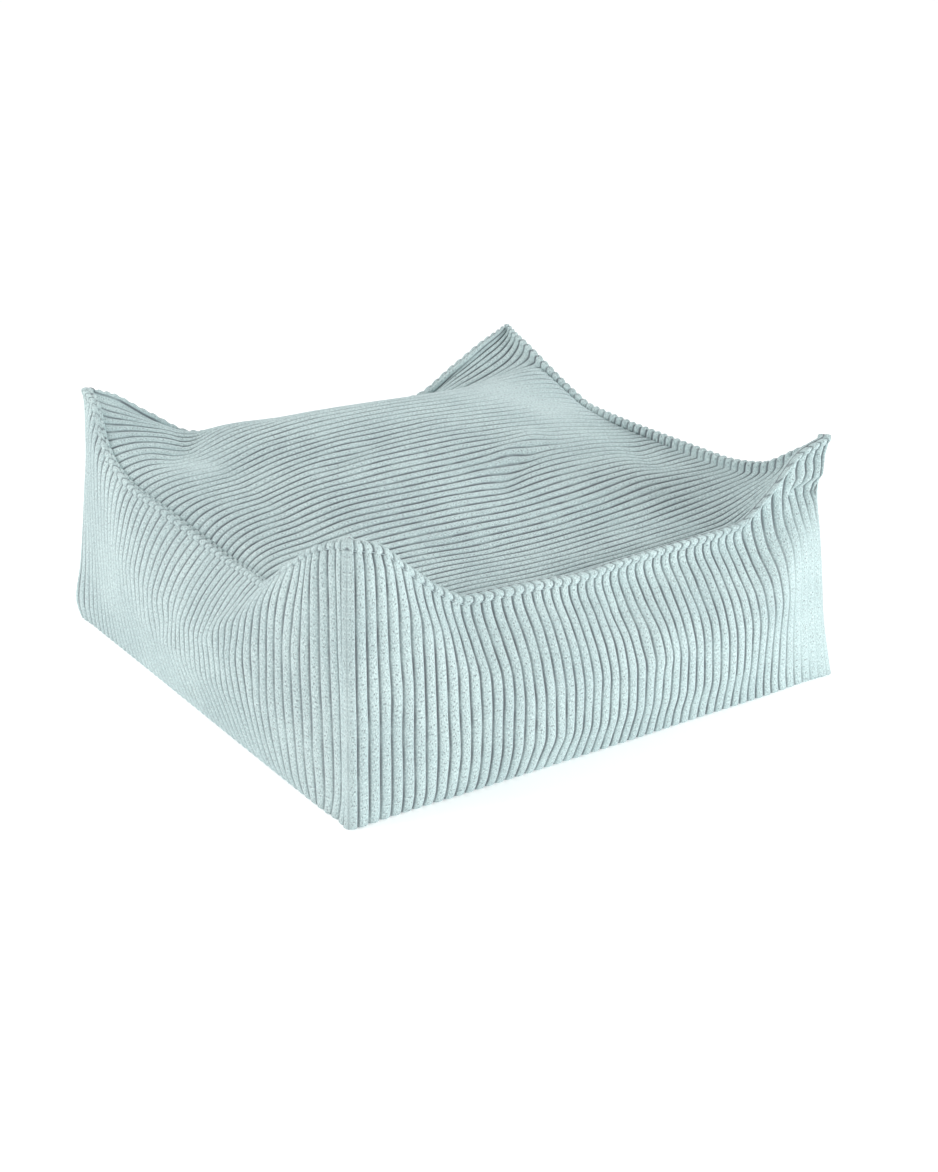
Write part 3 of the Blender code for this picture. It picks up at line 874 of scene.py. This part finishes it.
def corduroy_material(settings):
    """Pale corduroy: short pile on the cords with fine stipple and rows of tiny dark specks, painted
    shade in the narrow grooves between them, and painted shade dots where the stitching pinches the rim."""
    s = Shading("pouf_corduroy")
    uv = s.node("ShaderNodeUVMap", uv_map="cord_run").outputs[0]
    across = s.node("ShaderNodeSeparateXYZ", ((0, uv),)).outputs[0]
    place = s.node("ShaderNodeTexCoord").outputs["Object"]
    kept = s.node("ShaderNodeAttribute", attribute_name="groove_shade_kept").outputs["Fac"]
    above = s.node("ShaderNodeAttribute", attribute_name="above_stitch").outputs["Fac"]

    phase = s.math("FRACT", s.math("DIVIDE", across, CORD_PITCH))
    centred = s.math("ABSOLUTE", s.math("SUBTRACT", s.math("MULTIPLY", phase, 2.0), 1.0))
    wander = s.math("SUBTRACT", s.noise(place, WANDER_SCALE, 1.0), 0.5)
    edge = s.math("ADD", centred, s.math("MULTIPLY", wander, GROOVE_WANDER))
    wider = s.math("MAXIMUM", s.math("SUBTRACT", kept, 1.0), 0.0)
    # Painted groove shade at each cord's edges: its strength varies at random along the cords and
    # follows the point values
    groove_shade_variation = s.ramp(s.noise(place, GROOVE_SHADE_VARIATION_SCALE, 1.0), 0.30, 0.62, 0.60, 1.0)
    strength = s.math("MULTIPLY", s.math("MINIMUM", kept, 1.0), groove_shade_variation)
    groove = s.ramp(s.math("ADD", edge, wider), GROOVE_FROM, GROOVE_TO)
    groove = s.math("MULTIPLY", groove, strength)

    feeds = (("Vector", uv), ("Scale", (1.0, 0.55, 1.0)))
    stretched = s.node("ShaderNodeMapping", feeds).outputs[0]
    pile = s.noise(stretched, PILE_SCALE, 1.0)
    tufts = s.noise(place, TUFT_SCALE, 2.0, 0.6)
    speck_noise = s.noise(stretched, SPECK_SCALE, 0.0)
    specks = s.math("MULTIPLY", s.ramp(speck_noise, 0.61, 0.68), s.ramp(centred, 0.85, 0.35))
    patches = s.noise(place, PATCH_SCALE)

    unevenness = s.ramp(patches, 0.35, 0.65, 0.10, 0.60)
    colour = s.mix(unevenness, settings.cloth_colour, settings.cloth_shade)
    colour = s.mix(s.math("MULTIPLY", s.ramp(pile, 0.52, 0.34), 0.75), colour, settings.cloth_shade)
    light = s.math("MULTIPLY", s.ramp(pile, 0.50, 0.70), 0.60)
    colour = s.mix(light, colour, settings.pile_tip)
    colour = s.mix(s.math("MULTIPLY", specks, 0.55), colour, settings.groove_shade_and_speck_colour)
    # Lay the painted groove shade into the colour
    colour = s.mix(s.math("MULTIPLY", groove, 0.86), colour, settings.groove_shade_and_speck_colour)

    # Painted shade at the grooves along the stitch line, where the stitching pinches the rim
    near_stitch = s.ramp(s.math("ABSOLUTE", above), 0.0022, 0.0008)
    stitch_pinch_shade = s.math("MULTIPLY", near_stitch, s.ramp(centred, 0.35, 0.75))
    colour = s.mix(s.math("MULTIPLY", stitch_pinch_shade, 0.6), colour, settings.groove_shade_and_speck_colour)

    height = s.math("ADD", s.math("MULTIPLY", pile, 0.5), s.math("MULTIPLY", tufts, 0.8))
    height = s.math("SUBTRACT", height, s.math("MULTIPLY", specks, 0.5))
    height = s.math("SUBTRACT", height, s.math("MULTIPLY", groove, 0.6))
    s.bump(height, 0.8, settings.pile_depth)
    s.shade({"Base Color": colour, "Roughness": s.ramp(pile, 0.2, 0.8, 0.98, 0.86),
             "Specular IOR Level": 0.15, "Sheen Weight": 0.45, "Sheen Roughness": 0.45,
             "Sheen Tint": (0.86, 0.97, 1.0, 1.0)})
    return s.material


def thread_material(settings):
    """Twisted sewing thread a shade darker than the cloth."""
    s = Shading("pouf_thread")
    place = s.node("ShaderNodeTexCoord").outputs["Object"]
    twist = s.noise(place, TWIST_SCALE, 1.0)
    colour = s.mix(s.ramp(twist, 0.35, 0.65), settings.thread_colour, settings.cloth_shade)
    s.bump(twist, 0.4, 0.0002)
    s.shade({"Base Color": colour, "Roughness": 0.7, "Specular IOR Level": 0.3})
    return s.material


def stitch_mesh(centres, runs, ups, half_length, radius):
    """Points and faces of short round stitches: each is a tube about its run, made of rings whose
    radius falls off at both ends, and closed by a point at each end. All arrays have a row a stitch."""
    runs = runs / np.linalg.norm(runs, axis=1)[:, None]
    sides = np.cross(ups, runs)
    sides = sides / np.linalg.norm(sides, axis=1)[:, None]
    ups = np.cross(runs, sides)
    reach = np.array(STITCH_RINGS) * half_length
    girth = np.array(STITCH_GIRTHS) * radius
    turns = np.arange(STITCH_SIDES) * 2 * np.pi / STITCH_SIDES
    ring = centres[:, None, None] + runs[:, None, None] * reach[None, :, None, None]
    ring = ring + sides[:, None, None] * (girth[:, None] * np.cos(turns))[None, :, :, None]
    ring = ring + ups[:, None, None] * (girth[:, None] * np.sin(turns))[None, :, :, None]
    count = len(centres)
    ring = ring.reshape(count, -1, 3)
    tip = runs * half_length * STITCH_TIP
    points = np.concatenate([ring, np.stack([centres - tip, centres + tip], axis=1)], axis=1)
    first = (np.arange(count) * points.shape[1])[:, None, None]
    wrapped = closed_ids(0, len(STITCH_RINGS), STITCH_SIDES)
    near, far = np.full((2, STITCH_SIDES), ring.shape[1]) + ((0,), (1,))
    start = np.stack([wrapped[0, 1:], wrapped[0, :-1], near], axis=-1)
    end = np.stack([wrapped[-1, :-1], wrapped[-1, 1:], far], axis=-1)
    parts = (strip_faces(wrapped), start, end)
    blocks = [(first + part[None]).reshape(-1, part.shape[1]) for part in parts]
    return points.reshape(-1, 3), blocks


def rim_stitches(half_length, radius):
    """One stitch a cord along the four rims, lying across the groove where the hem is sewn."""
    places = np.arange(1, CORDS_A_SIDE) * CORD_PITCH
    step = 0.25 * CORD_PITCH
    centres, runs, ups = [], [], []
    for name, _ in RING:
        before, middle, after = (hem_line(name, places + way, HEM[0]) for way in (-step, 0, step))
        centres.append(middle)
        runs.append(after - before)
        ups.append(np.repeat(np.array([OUTWARD[name] + (0,)], float), len(places), axis=0))
    return stitch_mesh(np.concatenate(centres), np.concatenate(runs), np.concatenate(ups),
                       half_length, radius)


def floor_material(settings):
    """Plain matt pale paint with the faintest unevenness."""
    s = Shading("studio_floor")
    place = s.node("ShaderNodeTexCoord").outputs["Object"]
    uneven = s.noise(place, 1.5)
    darker = tuple(0.985 * part for part in settings.floor_colour[:3]) + (1.0,)
    colour = s.mix(s.ramp(uneven, 0.3, 0.7), settings.floor_colour, darker)
    s.shade({"Base Color": colour, "Roughness": 0.9, "Specular IOR Level": 0.1,
             "Emission Color": (1.0, 1.0, 1.0, 1.0), "Emission Strength": settings.floor_glow})
    return s.material


def area_light(name, lamp, power):
    """A square soft light at its place, with its size and colour, that faces the light's target."""
    place, size, colour = lamp
    light = bpy.data.lights.new(name, "AREA")
    light.shape = "SQUARE"
    light.size = size
    light.energy = power
    light.color = colour
    stand = add_object(name, light)
    stand.location = place
    stand.rotation_mode = "QUATERNION"
    stand.rotation_quaternion = (Vector(LIGHT_TARGET) - Vector(place)).to_track_quat("-Z", "Y")


def studio_floor(settings):
    """A wide floor that curves up into a backdrop: flat, then a quarter circle, then upright. The
    profile is carried along X."""
    half_width, near, far, bend, high = 12.0, -9.0, 7.0, 3.0, 9.0
    angles = np.linspace(0, np.pi / 2, 25)
    curve_y = far + bend * np.sin(angles)
    curve_z = bend * (1 - np.cos(angles))
    flat_y = np.linspace(near, far, 9)[:-1]
    y = np.concatenate([flat_y, curve_y, [far + bend]])
    z = np.concatenate([np.zeros_like(flat_y), curve_z, [high]])
    x = np.linspace(-half_width, half_width, 13)
    points = np.stack(np.broadcast_arrays(x[None, :], y[:, None], z[:, None]), axis=-1)
    ids = np.arange(points.shape[0] * points.shape[1]).reshape(points.shape[:2])
    return new_piece("studio_floor", points.reshape(-1, 3), [strip_faces(ids)], floor_material(settings))


def camera_back():
    """Unit vector from the camera's target to the camera."""
    turn, height = np.radians(CAMERA_TURN), np.radians(CAMERA_HEIGHT)
    return Vector((np.sin(turn) * np.cos(height), -np.cos(turn) * np.cos(height), np.sin(height)))


def add_camera():
    """The camera at the picture's angle."""
    data = bpy.data.cameras.new("camera")
    data.lens = CAMERA_LENS
    data.sensor_width = 36.0
    data.sensor_fit = "AUTO"
    camera = add_object("camera", data)
    back = camera_back()
    camera.location = Vector(CAMERA_TARGET) + back * CAMERA_DISTANCE
    camera.rotation_mode = "QUATERNION"
    camera.rotation_quaternion = back.to_track_quat("Z", "Y")
    bpy.context.scene.camera = camera


def metres(name, description, default, high):
    """A length for the panel."""
    return bpy.props.FloatProperty(name=name, description=description, default=default, min=0.0,
                                   max=high, unit="LENGTH")


def tint(name, description, default):
    """A colour for the panel."""
    return bpy.props.FloatVectorProperty(name=name, description=description, default=default, size=4,
                                         min=0.0, max=1.0, subtype="COLOR")


def watts(name, description, default):
    """A light's power for the panel."""
    return bpy.props.FloatProperty(name=name, description=description, default=default, min=0.0,
                                   max=1000.0, unit="POWER")


class PoufSettings(bpy.types.PropertyGroup):
    """Sizes and colours of the cover and its thread."""

    cord_height: metres("Cord height", "Height of a cord above its groove", 0.0036, 0.006)
    groove_share: bpy.props.FloatProperty(
        name="Groove share", description="Share of the cord height that lies below the cloth",
        default=0.60, min=0.0, max=1.0, subtype="FACTOR")
    pile_depth: metres("Pile depth", "Depth of the pile's fine unevenness", 0.0008, 0.003)
    cloth_colour: tint("Cloth", "Colour of the cords", (0.555, 0.675, 0.675, 1.0))
    cloth_shade: tint("Cloth shade", "Deeper colour between the tips", (0.41, 0.52, 0.53, 1.0))
    pile_tip: tint("Pile tip", "Pale colour of the pile's tips", (0.77, 0.89, 0.88, 1.0))
    # Painted shade: this grey darkens the grooves and the pinches at the stitching, and it is also the
    # colour of the pile's specks
    groove_shade_and_speck_colour: tint("Groove", "Grey of the grooves", (0.135, 0.145, 0.165, 1.0))
    thread_colour: tint("Thread", "Colour of the sewing thread", (0.46, 0.56, 0.58, 1.0))
    stitch_length: metres("Stitch length", "Length of one stitch on the rim", 0.0050, 0.02)
    thread_thickness: metres("Thread thickness", "Thickness of the sewing thread", 0.0009, 0.004)


class StudioSettings(bpy.types.PropertyGroup):
    """Floor and light of the studio."""

    floor_colour: tint("Floor", "Colour of the floor", (0.93, 0.93, 0.93, 1.0))
    floor_glow: bpy.props.FloatProperty(
        name="Floor glow", description="Light that the floor gives of itself",
        default=0.30, min=0.0, max=5.0)
    sky_strength: bpy.props.FloatProperty(
        name="Room light", description="Strength of the light from all round",
        default=0.70, min=0.0, max=10.0)
    key_power: watts("Key light", "Power of the soft light from the right", 38.0)
    fill_power: watts("Fill light", "Power of the soft light from the left", 30.0)


class POUF_OT_build_cover(bpy.types.Operator):
    """Build the filled corduroy cover in place of the plain solid"""

    bl_idname = "pouf.build_cover"
    bl_label = "Build cover"

    def execute(self, context):
        settings = context.scene.pouf_settings
        points, faces, texture, above, kept = cover_mesh(settings.cord_height, settings.groove_share)
        cover = new_piece("pouf_cover", points, faces, corduroy_material(settings))
        if len(cover.data.loops) != len(texture):
            raise RuntimeError("the cover's mesh lost faces, so its texture places don't fit")
        add_texture_places(cover, texture)
        add_point_value(cover, "groove_shade_kept", kept)
        add_point_value(cover, "above_stitch", above)
        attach(cover, "root")
        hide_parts("pouf")
        return {"FINISHED"}


class POUF_OT_sew_rims(bpy.types.Operator):
    """Sew the stitches that hold the rolled rims"""

    bl_idname = "pouf.sew_rims"
    bl_label = "Sew rims"

    def execute(self, context):
        settings = context.scene.pouf_settings
        points, faces = rim_stitches(settings.stitch_length / 2, settings.thread_thickness / 2)
        thread = new_piece("rim_stitches", points, faces, thread_material(settings))
        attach(thread, "root")
        return {"FINISHED"}


class POUF_OT_set_stage(bpy.types.Operator):
    """Set the pale floor, the soft lights and the camera"""

    bl_idname = "pouf.set_stage"
    bl_label = "Set stage"

    def execute(self, context):
        settings = context.scene.studio_settings
        studio_floor(settings)
        world = bpy.data.worlds.new("studio_room")
        world.use_nodes = True
        background = world.node_tree.nodes["Background"]
        background.inputs["Color"].default_value = (1.0, 1.0, 1.0, 1.0)
        background.inputs["Strength"].default_value = settings.sky_strength
        context.scene.world = world
        context.scene.view_settings.view_transform = "Standard"
        area_light("key_light", KEY_LIGHT, settings.key_power)
        area_light("fill_light", FILL_LIGHT, settings.fill_power)
        add_camera()
        return {"FINISHED"}


class POUF_PT_panel(bpy.types.Panel):
    """Buttons and values of the pouf"""

    bl_idname = "POUF_PT_panel"
    bl_label = "Pouf"
    bl_space_type = "VIEW_3D"
    bl_region_type = "UI"
    bl_category = "Pouf"

    def draw(self, context):
        for group in (context.scene.pouf_settings, context.scene.studio_settings):
            box = self.layout.box()
            for key in type(group).__annotations__:
                box.prop(group, key)
        for operator in (POUF_OT_build_cover, POUF_OT_sew_rims, POUF_OT_set_stage):
            self.layout.operator(operator.bl_idname)


CLASSES = (PoufSettings, StudioSettings, POUF_OT_build_cover, POUF_OT_sew_rims, POUF_OT_set_stage,
           POUF_PT_panel)


def register():
    """Register the classes and hang the settings on the scene."""
    for item in CLASSES:
        bpy.utils.register_class(item)
    bpy.types.Scene.pouf_settings = bpy.props.PointerProperty(type=PoufSettings)
    bpy.types.Scene.studio_settings = bpy.props.PointerProperty(type=StudioSettings)


def unregister():
    """Take the settings and classes away again."""
    del bpy.types.Scene.studio_settings
    del bpy.types.Scene.pouf_settings
    for item in reversed(CLASSES):
        bpy.utils.unregister_class(item)


def main():
    """Build every piece in order."""
    register()
    bpy.ops.pouf.build_cover()
    bpy.ops.pouf.sew_rims()
    bpy.ops.pouf.set_stage()


if __name__ == "__main__":
    main()
